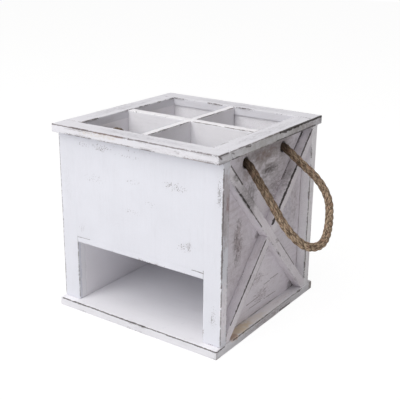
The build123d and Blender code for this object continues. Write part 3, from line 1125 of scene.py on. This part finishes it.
def make_case():
    """Base, stiles, front, back, floor and side boards."""
    floor_low, floor_high = box_mm("compartment_floor")
    stile_low = floor_low.z - floor_under
    right_tight = [((-far, -far, stile_low), (seam_x, far, far))]
    left_tight = [((-seam_x, -far, stile_low), (far, far, far))]
    under_rim = above(rim_low.z - seam_margin)
    bores = [(-hole_y, hole_z), (hole_y, hole_z)]
    board("base_board", "Z", "base", "base", along_x, 1)
    board("front_stile_right", "Y", "front", "upright", up, 2, right_tight)
    board("front_stile_left", "Y", "front", "upright", up, 3, left_tight)
    board("front_panel", "Y", "front", "flush", up, 4, above(-far))
    board("back_panel", "Y", "back", "upright", up, 5, under_rim)
    board("compartment_floor", "Z", "front", "floor", along_x, 6, above(floor_high.z - floor_over))
    board("right_panel", "X", "side", "panel", along_y, 7, under_rim, bores)
    board("left_panel", "X", "side", "panel", along_y, 8, under_rim, bores)


def make_braces():
    """The strips of the X on each side, with the grain along each strip."""
    for side, seed in (("right", 10), ("left", 14)):
        for k, part in enumerate(("brace_lower", "brace_long", "brace_upper")):
            node = side + "_" + part
            corners = hull_corners(node)
            runs = [b - a for a, b in zip(corners, corners[1:] + corners[:1])]
            longest = max(runs, key=lambda run: run.length)
            board(node, "X", "brace", "brace", (0, longest.x, longest.y), seed + k, corners=corners)


def make_dividers():
    """Two dividers, each with a notch for the other."""
    low, high = box_mm("long_divider")
    cross_low, cross_high = box_mm("cross_divider")
    lap = (low.z + high.z) / 2
    body = rectangle((low.y, low.z), (high.y, high.z))
    notch = [(cross_high.y, high.z), (cross_high.y, lap), (cross_low.y, lap), (cross_low.y, high.z)]
    board("long_divider", "X", "inner", "divider", along_y, 20, corners=body[:3] + notch + body[3:])
    body = rectangle((cross_low.z, cross_low.x), (cross_high.z, cross_high.x))
    notch = [(cross_low.z, high.x), (lap, high.x), (lap, low.x), (cross_low.z, low.x)]
    board("cross_divider", "Y", "inner", "divider", along_x, 21, corners=body + notch)


def make_rim():
    """Four strips round the top, sharp where they meet the boards below."""
    tight = [((-seam_x, -seam_x, 0.0), (seam_x, seam_x, rim_low.z + seam_margin))]
    board("rim_front", "Z", "rim", "rim_end", along_x, 22, tight)
    board("rim_back", "Z", "rim", "rim_end", along_x, 23, tight)
    board("rim_right", "Z", "rim", "rim_side", along_y, 24, tight)
    board("rim_left", "Z", "rim", "rim_side", along_y, 25, tight)


make_case()
make_braces()
make_dividers()
make_rim()

# Jute: its colours, the sizes of its fibres, and how far out from the middle the rope is painted darker as
# shade, at the holes and near the box
jute_pale = (0.62, 0.475, 0.335)
jute_mid = (0.33, 0.23, 0.165)
jute_red = (0.40, 0.22, 0.155)
jute_dark = (0.09, 0.06, 0.04)
jute_shade = (0.040, 0.027, 0.018)
jute_fibre_size = (5.0, 0.9, 0.9)
jute_gap_size = (3.4, 1.3, 1.3)
jute_broad_size = 8.0
jute_red_size = 5.0
jute_depth = 0.4
mouth_shade = (102.0, 90.0)
inside_shade_edge = (78.0, 82.0)
box_shade = (140.0, 90.0)


def rope_paint():
    """Jute: pale and dark fibres along the rope, with painted shade in the grooves, in the gaps between
    yarns, at the holes and nearer the box.
    """
    material, tree, shader = new_material("jute")
    groove = attribute(tree, "groove", "Fac")
    lay = attribute(tree, "grain", "Vector")
    place = object_mm(tree)
    fibre = grains(tree, lay, jute_fibre_size, 4.0, 0.7)
    apart = add(tree, "ShaderNodeSeparateXYZ", {0: place}).outputs
    out = calc(tree, "ABSOLUTE", apart[0])
    layers = [
        (ramp(tree, grains(tree, place, jute_broad_size), 0.4, 0.7), 0.4, jute_mid),
        (ramp(tree, grains(tree, place, jute_red_size, 2.0), 0.52, 0.68), 0.45, jute_red),
        # Painted shade: in the gaps between yarns, in the grooves between strands, at the holes, and nearer
        # the box and towards the front
        (ramp(tree, grains(tree, lay, jute_gap_size, 2.0), 0.50, 0.62), 0.55, jute_shade),
        (ramp(tree, groove, 0.45, 0.0), 0.6, jute_shade),
        (times(tree, ramp(tree, out, *mouth_shade), ramp(tree, out, *inside_shade_edge)), 0.8, jute_shade),
        (ramp(tree, plus(tree, out, apart[1], 0.4), *box_shade), 0.5, jute_shade),
    ]
    colour = blend_colour(tree, ramp(tree, fibre, 0.38, 0.60), jute_dark, jute_pale)
    for mask, strength, tint in layers:
        colour = blend_colour(tree, times(tree, mask, strength), colour, tint)
    bump = add(tree, "ShaderNodeBump", {"Strength": 0.9, "Distance": jute_depth * MM, "Height": fibre})
    fill(tree, shader, {
        "Base Color": colour,
        "Roughness": 0.9,
        "Specular IOR Level": 0.15,
        "Normal": bump.outputs[0],
    })
    return material


jute = rope_paint()


# Ropes
def smooth_line(points, resolution):
    """Points read from a smooth spline whose control points are these."""
    data = bpy.data.curves.new("route", "CURVE")
    data.dimensions = "3D"
    spline = data.splines.new("NURBS")
    spline.points.add(len(points) - 1)
    for spot, place in zip(spline.points, points):
        spot.co = (*(place * MM), 1.0)
    spline.order_u = spline_order
    spline.use_endpoint_u = True
    spline.resolution_u = resolution
    holder = bpy.data.objects.new("route", data)
    mesh = bpy.data.meshes.new_from_object(holder)
    line = [v.co / MM for v in mesh.vertices]
    bpy.data.objects.remove(holder)
    bpy.data.curves.remove(data)
    bpy.data.meshes.remove(mesh)
    return line


def even_line(line, step):
    """The same line with points at an even spacing."""
    lengths = [0.0]
    for a, b in zip(line, line[1:]):
        lengths.append(lengths[-1] + (b - a).length)
    count = max(2, round(lengths[-1] / step))
    even = []
    k = 0
    for i in range(count + 1):
        want = lengths[-1] * i / count
        while k < len(lengths) - 2 and lengths[k + 1] < want:
            k += 1
        gap = lengths[k + 1] - lengths[k]
        share = (want - lengths[k]) / gap if gap > 0 else 0.0
        even.append(line[k].lerp(line[k + 1], share))
    return even


def line_frames(line):
    """For each point: its place, direction and two sideways directions that don't spin."""
    frames = []
    side = None
    for i, place in enumerate(line):
        ahead = line[min(i + 1, len(line) - 1)]
        before = line[max(i - 1, 0)]
        run = (ahead - before).normalized()
        if side is None:
            helper = Vector((0, 0, 1)) if abs(run.z) < upright_run else Vector((0, 1, 0))
            side = run.cross(helper).normalized()
        side = (side - run * side.dot(run)).normalized()
        frames.append((place, run, side, run.cross(side)))
    return frames


def tube_faces(build, rings, smooth):
    """Faces along a tube of rings, and over its two ends."""
    for here, ahead in zip(rings, rings[1:]):
        for k in range(len(here)):
            n = (k + 1) % len(here)
            build.faces.new((here[k], here[n], ahead[n], ahead[k])).smooth = smooth
    build.faces.new(rings[0][::-1])
    build.faces.new(rings[-1])


def strand_reach(turn):
    """How far the rope's surface stands from its axis, at an angle from the first strand."""
    from_strand = (turn + half_strand) % (2 * half_strand) - half_strand
    aside = strand_offset * math.sin(from_strand)
    return strand_offset * math.cos(from_strand) + math.sqrt(strand_radius ** 2 - aside ** 2)


def lay_strands(build, layers, line, scale, phase, seed):
    """The outside of three strands twisted together along a line."""
    groove_layer, grain_layer = layers
    deepest = strand_reach(half_strand)
    outermost = strand_reach(0)
    travel = 0.0
    rings = []
    for i, (place, _, one, two) in enumerate(line_frames(line)):
        travel += (place - line[max(i - 1, 0)]).length
        ring = []
        for k in range(rope_sides):
            turn = math.tau * k / rope_sides
            reach = strand_reach(turn)
            angle = phase + turn + math.tau * travel / lay_length
            out = one * math.cos(angle) + two * math.sin(angle)
            across = out * outermost + Vector((seed, seed, seed))
            ridge = noise.noise(Vector((travel / ridge_length, 0, 0)) + across * ridges_across)
            strand = k * strand_count // rope_sides
            lump = noise.noise(Vector((travel / lump_length, strand * strand_shift, seed)))
            bumpy = reach + fibre_ridge * ridge + strand_lump * lump
            vert = build.verts.new((place + out * scale * bumpy) * MM)
            vert[groove_layer] = (reach - deepest) / (outermost - deepest)
            side = Vector((math.cos(angle), math.sin(angle))) * outermost
            vert[grain_layer] = Vector((travel + seed * rope_shift, side.x, side.y))
            ring.append(vert)
        rings.append(ring)
    tube_faces(build, rings, True)


def hairs(build, layers, line, draw, count, scale):
    """Loose fibres that stand a little out of the rope."""
    groove_layer, grain_layer = layers
    frames = line_frames(line)
    for _ in range(count):
        place, run, one, two = frames[draw.randrange(hair_ends, len(frames) - hair_ends)]
        angle = draw.uniform(0, math.tau)
        out = one * math.cos(angle) + two * math.sin(angle)
        around = two * math.cos(angle) - one * math.sin(angle)
        length = draw.uniform(*hair_lengths)
        lean = run * draw.choice((-1, 1)) * draw.uniform(*hair_lean) + around * draw.uniform(*hair_swing)
        start = place + out * (rope_diameter / 2 * hair_root_share * scale)
        rings = []
        for share in (0.0, 0.5, 1.0):
            spot = start + lean * length * share + out * length * draw.uniform(*hair_rise) * share
            radius = hair_radius * (1 - hair_taper_share * share)
            ring = []
            for s in range(hair_sides):
                turn = math.tau * s / hair_sides
                offset = (one * math.cos(turn) + two * math.sin(turn)) * radius
                vert = build.verts.new((spot + offset) * MM)
                vert[groove_layer] = 1.0
                vert[grain_layer] = Vector((place.x + place.y, share, angle))
                ring.append(vert)
            rings.append(ring)
        tube_faces(build, rings, False)


def rope_mesh(route, scale, hair_count, seed):
    """A rope along a route, with its hairs."""
    build = bmesh.new()
    layers = (build.verts.layers.float.new("groove"), build.verts.layers.float_vector.new("grain"))
    draw = random.Random(seed)
    lay_strands(build, layers, route, scale, draw.uniform(0, math.tau), seed)
    hairs(build, layers, route, draw, hair_count, scale)
    return build


def loop_controls(side, angle):
    """The rope's control points, from inside one hole round the loop into the other."""
    lean = math.radians(angle)
    hole_xs = (rope_inside_x, rope_hole_x, rope_mouth_x)
    points = [Vector((side * x, -hole_y, hole_z)) for x in hole_xs]
    for out, along in loop_route:
        x = hinge_x + out * math.cos(lean)
        points.append(Vector((side * x, along, hole_z - out * math.sin(lean))))
    points += [Vector((side * x, hole_y, hole_z)) for x in reversed(hole_xs)]
    return points


def knot_controls(side, y):
    """A knot's control points: in from the hole, round the rope and down the tail."""
    wraps = []
    for i in range(knot_points):
        angle = math.radians(knot_first_degrees + knot_step_degrees * i)
        x = knot_far + knot_length * i / (knot_points - 1)
        wraps.append((x, knot_wrap * math.cos(angle), knot_wrap * math.sin(angle)))
    offsets = knot_lead + wraps + knot_tail
    return [Vector((side * (inner_x + x), y + along, hole_z + rise)) for x, along, rise in offsets]


def make_handle(name, side, angle, seed):
    """One rope handle: three strands through both holes, bending at the holes' mouths."""
    route = even_line(smooth_line(loop_controls(side, angle), handle_resolution), handle_step)
    piece = new_piece(name + "_rope", rope_mesh(route, 1.0, handle_hairs, seed), jute)
    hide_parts(name + "_rope_loop")
    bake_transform(piece)
    length = sum((b - a).length for a, b in zip(route, route[1:]))
    return piece, route, length


def make_knot(name, side, y, seed):
    """A stopper knot on the rope's end, against the inner face, with a short frayed tail."""
    route = even_line(smooth_line(knot_controls(side, y), knot_resolution), knot_step)
    piece = new_piece(name + "_tied", rope_mesh(route, knot_scale, knot_hairs, seed), jute, "box")
    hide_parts(name)
    return piece


def make_ropes():
    """Both handles, each with its two knots."""
    for name, side, angle, seed in (("right", 1, right_angle, 5), ("left", -1, left_angle, 9)):
        piece, route, length = make_handle(name, side, angle, seed)
        for k, (place, y) in enumerate((("front", -hole_y), ("back", hole_y))):
            make_knot(name + "_" + place + "_knot", side, y, seed * 10 + k)


make_ropes()

# Brads
wire_dark = (0.30, 0.29, 0.28)
wire_pale = (0.55, 0.55, 0.55)
wire_size = (0.3, 0.3, 4.0)


def brad_metal():
    """Dull wire."""
    material, tree, shader = new_material("brad_wire")
    drawn = grains(tree, object_mm(tree), wire_size)
    fill(tree, shader, {
        "Base Color": blend_colour(tree, drawn, wire_dark, wire_pale),
        "Metallic": 1.0,
        "Roughness": plus(tree, 0.3, drawn, 0.3),
    })
    return material


wire = brad_metal()
for node in nodes:
    if node.endswith("_brads"):
        nodes[node].data.materials.clear()
        nodes[node].data.materials.append(wire)


# Stage and light
def seen_directly(tree):
    """1 for what the camera sees, also in a mirror or through glass, and 0 for light between surfaces."""
    path = add(tree, "ShaderNodeLightPath").outputs
    indirect = calc(tree, "MAXIMUM", path["Is Glossy Ray"], path["Is Transmission Ray"])
    return calc(tree, "MAXIMUM", path["Is Camera Ray"], indirect)


def make_world():
    """Soft even light, with a white background."""
    world = bpy.data.worlds.new("studio")
    bpy.context.scene.world = world
    tree = empty_tree(world)
    seen = seen_directly(tree)
    strength = plus(tree, world_light, seen, 1.0 - world_light)
    tint = blend_colour(tree, seen, world_tint, pure_white)
    backdrop = add(tree, "ShaderNodeBackground", {"Color": tint, "Strength": strength})
    add(tree, "ShaderNodeOutputWorld", {"Surface": backdrop.outputs[0]})


def make_floor():
    """A pale floor that is white to the camera, apart from a faint shadow."""
    material = bpy.data.materials.new("floor_white")
    tree = empty_tree(material)
    matt = add(tree, "ShaderNodeBsdfDiffuse", {"Color": floor_grey}).outputs[0]
    glow = add(tree, "ShaderNodeEmission", {"Color": (*pure_white, 1.0), "Strength": floor_glow}).outputs[0]
    glowing = times(tree, seen_directly(tree), floor_glow_share)
    mix = add(tree, "ShaderNodeMixShader", {0: glowing, 1: matt, 2: glow})
    add(tree, "ShaderNodeOutputMaterial", {"Surface": mix.outputs[0]})
    mesh = bpy.data.meshes.new("floor")
    corners = rectangle((-floor_size, -floor_size), (floor_size, floor_size))
    mesh.from_pydata([(x, y, -floor_drop) for x, y in corners], [], [(0, 1, 2, 3)])
    mesh.materials.append(material)
    new_object("floor", mesh)


def make_lamps():
    """Broad lamps in front and overhead."""
    for name, (place, watts) in lamps.items():
        data = bpy.data.lights.new(name, "AREA")
        data.shape = "DISK"
        data.size = lamp_size
        data.energy = watts
        lamp = new_object(name, data)
        lamp.location = Vector(place)
        lamp.rotation_euler = (lamp_aim - lamp.location).to_track_quat("-Z", "Y").to_euler()


bpy.context.scene.view_settings.view_transform = "Standard"
make_world()
make_floor()
make_lamps()
